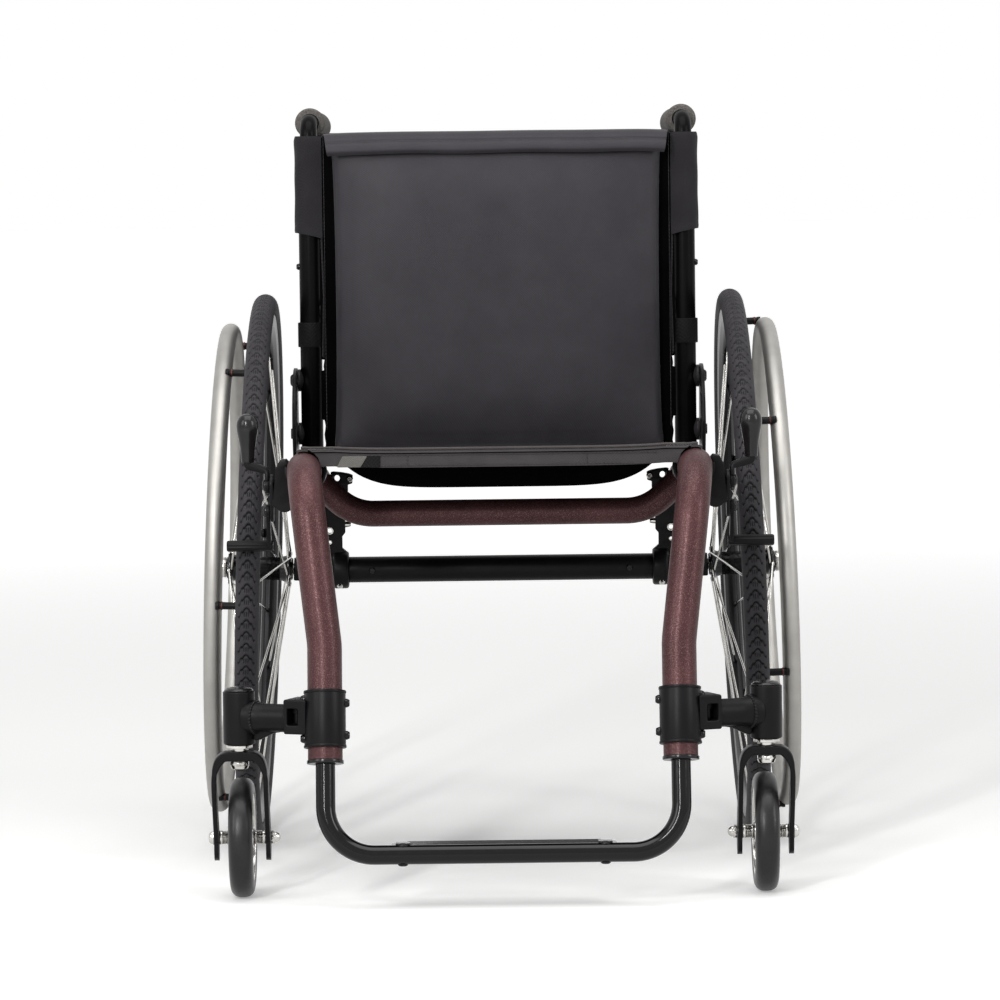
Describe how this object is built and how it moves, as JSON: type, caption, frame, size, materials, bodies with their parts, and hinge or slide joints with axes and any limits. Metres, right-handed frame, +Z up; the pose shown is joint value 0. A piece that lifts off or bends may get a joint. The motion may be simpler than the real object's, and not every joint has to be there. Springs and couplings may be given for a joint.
{
  "type": "rigid frame active wheelchair",
  "caption": "Rigid frame manual wheelchair with cambered spoked wheels, handrims, swivel casters, sling seat, padded folding back, push grips, wheel locks and a tube footrest.",
  "frame": {"origin": "middle of the chair's footprint, on the floor", "axes": "+X to the sitter's left, -Y the way the sitter faces, +Z up"},
  "size_m": [0.6338, 0.8418, 0.7951],
  "materials": {
    "frame_paint": "satin",
    "black_coat": "satin",
    "black_gloss": "gloss",
    "handrim_anodised": "satin",
    "rim_alloy": "satin",
    "steel": "satin",
    "tyre_rubber": "matte",
    "caster_rubber": "satin",
    "upholstery": "matte",
    "grip_foam": "matte",
    "lever_plastic": "gloss"
  },
  "bodies": {
    "frame": {"frame_tube_left": "frame_paint", "frame_tube_right": "frame_paint", "axle_clamp_left": "black_coat", "axle_clamp_right": "black_coat", "axle_sleeve_left": "black_coat", "axle_sleeve_right": "black_coat", "wheel_axle_left": "steel", "wheel_axle_right": "steel", "caster_clamp_left": "black_coat", "caster_clamp_right": "black_coat", "caster_arm_left": "black_coat", "caster_arm_right": "black_coat", "upright_end_ring_left": "black_coat", "upright_end_ring_right": "black_coat", "back_hinge_plate_left": "black_coat", "back_hinge_plate_right": "black_coat", "lock_clamp_left": "black_coat", "lock_clamp_right": "black_coat", "seat_cross_tube": "frame_paint", "camber_tube": "black_coat", "seat_sling": "upholstery"},
    "backrest": {"back_cane_left": "black_gloss", "back_cane_right": "black_gloss", "push_grip_left": "grip_foam", "push_grip_right": "grip_foam", "back_pivot_pin_left": "black_coat", "back_pivot_pin_right": "black_coat", "back_stop_pin_left": "black_coat", "back_stop_pin_right": "black_coat", "back_cross_bar": "black_gloss", "back_upholstery": "upholstery", "back_cushion": "upholstery"},
    "rear_wheel_left": {"rear_tyre_left": "tyre_rubber", "rear_rim_left": "rim_alloy", "rear_hub_left": "steel", "handrim_left": "handrim_anodised"},
    "axle_button_left": {"axle_button_left": "black_coat"},
    "caster_left": {"caster_fork_left": "black_coat", "caster_stem_left": "steel", "caster_axle_left": "steel"},
    "caster_wheel_left": {"caster_tyre_left": "caster_rubber", "caster_wheel_left": "steel"},
    "lock_lever_left": {"lock_lever_left": "black_coat", "lock_knob_left": "lever_plastic"},
    "lock_shoe_left": {"lock_shoe_left": "black_coat"},
    "rear_wheel_right": {"rear_tyre_right": "tyre_rubber", "rear_rim_right": "rim_alloy", "rear_hub_right": "steel", "handrim_right": "handrim_anodised"},
    "axle_button_right": {"axle_button_right": "black_coat"},
    "caster_right": {"caster_fork_right": "black_coat", "caster_stem_right": "steel", "caster_axle_right": "steel"},
    "caster_wheel_right": {"caster_tyre_right": "caster_rubber", "caster_wheel_right": "steel"},
    "lock_lever_right": {"lock_lever_right": "black_coat", "lock_knob_right": "lever_plastic"},
    "lock_shoe_right": {"lock_shoe_right": "black_coat"},
    "footrest": {"footrest_tube": "black_gloss", "foot_plate": "black_gloss"}
  },
  "joints": [
    {"name": "backrest_fold", "type": "hinge", "parent": "frame", "child": "backrest", "pos_m": [0, 0.19538, 0.43953], "axis": [1, 0, 0], "range_deg": [0, 65]},
    {"name": "rear_wheel_left_spin", "type": "hinge", "parent": "frame", "child": "rear_wheel_left", "pos_m": [0.2615, 0.12338, 0.29733], "axis": [0.9994, 0, 0.0349], "continuous": true},
    {"name": "axle_button_left_press", "type": "slide", "parent": "frame", "child": "axle_button_left", "axis": [-0.9994, 0, -0.0349], "range_m": [0, 0.003], "stiffness_N_per_m": 1500},
    {"name": "caster_left_swivel", "type": "hinge", "parent": "frame", "child": "caster_left", "pos_m": [0.2627, -0.34862, 0.18], "axis": [0, 0, 1], "continuous": true},
    {"name": "caster_wheel_left_spin", "type": "hinge", "parent": "caster_left", "child": "caster_wheel_left", "pos_m": [0.2627, -0.31362, 0.06], "axis": [1, 0, 0], "continuous": true},
    {"name": "lock_lever_left_turn", "type": "hinge", "parent": "frame", "child": "lock_lever_left", "pos_m": [0.237, -0.21462, 0.408], "axis": [1, 0, 0], "range_deg": [0, 45]},
    {"name": "lock_shoe_left_turn", "type": "hinge", "parent": "frame", "child": "lock_shoe_left", "pos_m": [0.237, -0.20662, 0.381], "axis": [1, 0, 0], "range_deg": [0, 9.2]},
    {"name": "rear_wheel_right_spin", "type": "hinge", "parent": "frame", "child": "rear_wheel_right", "pos_m": [-0.2615, 0.12338, 0.29733], "axis": [0.9994, 0, -0.0349], "continuous": true},
    {"name": "axle_button_right_press", "type": "slide", "parent": "frame", "child": "axle_button_right", "axis": [0.9994, 0, -0.0349], "range_m": [0, 0.003], "stiffness_N_per_m": 1500},
    {"name": "caster_right_swivel", "type": "hinge", "parent": "frame", "child": "caster_right", "pos_m": [-0.2627, -0.34862, 0.18], "axis": [0, 0, 1], "continuous": true},
    {"name": "caster_wheel_right_spin", "type": "hinge", "parent": "caster_right", "child": "caster_wheel_right", "pos_m": [-0.2627, -0.31362, 0.06], "axis": [1, 0, 0], "continuous": true},
    {"name": "lock_lever_right_turn", "type": "hinge", "parent": "frame", "child": "lock_lever_right", "pos_m": [-0.237, -0.21462, 0.408], "axis": [1, 0, 0], "range_deg": [0, 45]},
    {"name": "lock_shoe_right_turn", "type": "hinge", "parent": "frame", "child": "lock_shoe_right", "pos_m": [-0.237, -0.20662, 0.381], "axis": [1, 0, 0], "range_deg": [0, 9.2]},
    {"name": "footrest_slide", "type": "slide", "parent": "frame", "child": "footrest", "axis": [0, -0.2079, -0.9781], "range_m": [-0.025, 0.03]}
  ],
  "couplings": [
    {"joint": "lock_shoe_left_turn", "follows": "lock_lever_left_turn", "ratio": 0.2},
    {"joint": "lock_shoe_right_turn", "follows": "lock_lever_right_turn", "ratio": 0.2}
  ]
}
